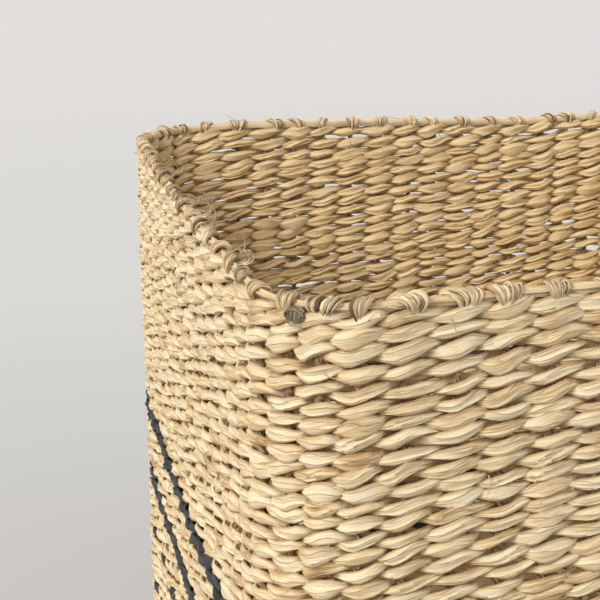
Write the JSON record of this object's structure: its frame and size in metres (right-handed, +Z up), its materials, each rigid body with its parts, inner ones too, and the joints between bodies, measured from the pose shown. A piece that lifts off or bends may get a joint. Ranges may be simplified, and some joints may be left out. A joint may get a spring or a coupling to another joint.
{
  "type": "storage basket",
  "caption": "Open square storage basket of hand-twined natural seagrass with round corners, a bound rim and thin charcoal stripes low on the walls.",
  "frame": {"origin": "centre of the flat underside, on the floor", "axes": "+Z up out of the open top, front wall at -Y, left wall at -X"},
  "size_m": [0.4208, 0.4108, 0.3611],
  "materials": {
    "natural_seagrass": "matte",
    "charcoal_seagrass": "matte",
    "stake_seagrass": "matte"
  },
  "bodies": {
    "root": {"weft_course_01": "natural_seagrass", "weft_course_02": "natural_seagrass", "weft_course_03": "natural_seagrass", "weft_course_04": "natural_seagrass", "weft_course_05": "natural_seagrass", "weft_course_06": "natural_seagrass", "weft_course_07": "charcoal_seagrass", "weft_course_08": "natural_seagrass", "weft_course_09": "natural_seagrass", "weft_course_10": "natural_seagrass", "weft_course_11": "natural_seagrass", "weft_course_12": "natural_seagrass", "weft_course_13": "charcoal_seagrass", "weft_course_14": "natural_seagrass", "weft_course_15": "natural_seagrass", "weft_course_16": "natural_seagrass", "weft_course_17": "natural_seagrass", "weft_course_18": "charcoal_seagrass", "weft_course_19": "charcoal_seagrass", "weft_course_20": "natural_seagrass", "weft_course_21": "natural_seagrass", "weft_course_22": "natural_seagrass", "weft_course_23": "natural_seagrass", "weft_course_24": "natural_seagrass", "weft_course_25": "charcoal_seagrass", "weft_course_26": "charcoal_seagrass", "weft_course_27": "natural_seagrass", "weft_course_28": "natural_seagrass", "weft_course_29": "natural_seagrass", "weft_course_30": "natural_seagrass", "weft_course_31": "natural_seagrass", "weft_course_32": "natural_seagrass", "weft_course_33": "natural_seagrass", "weft_course_34": "natural_seagrass", "weft_course_35": "natural_seagrass", "weft_course_36": "natural_seagrass", "weft_course_37": "natural_seagrass", "weft_course_38": "natural_seagrass", "weft_course_39": "natural_seagrass", "weft_course_40": "natural_seagrass", "weft_course_41": "natural_seagrass", "weft_course_42": "natural_seagrass", "weft_course_43": "natural_seagrass", "weft_course_44": "natural_seagrass", "weft_course_45": "natural_seagrass", "weft_course_46": "natural_seagrass", "weft_course_47": "natural_seagrass", "weft_course_48": "natural_seagrass", "weft_course_49": "natural_seagrass", "weft_course_50": "natural_seagrass", "base_courses": "natural_seagrass", "base_border": "natural_seagrass", "stakes_front_to_back": "stake_seagrass", "stakes_side_to_side": "stake_seagrass", "stakes_corners": "stake_seagrass", "rim_bundle": "natural_seagrass", "rim_knot": "stake_seagrass"}
  },
  "joints": []
}
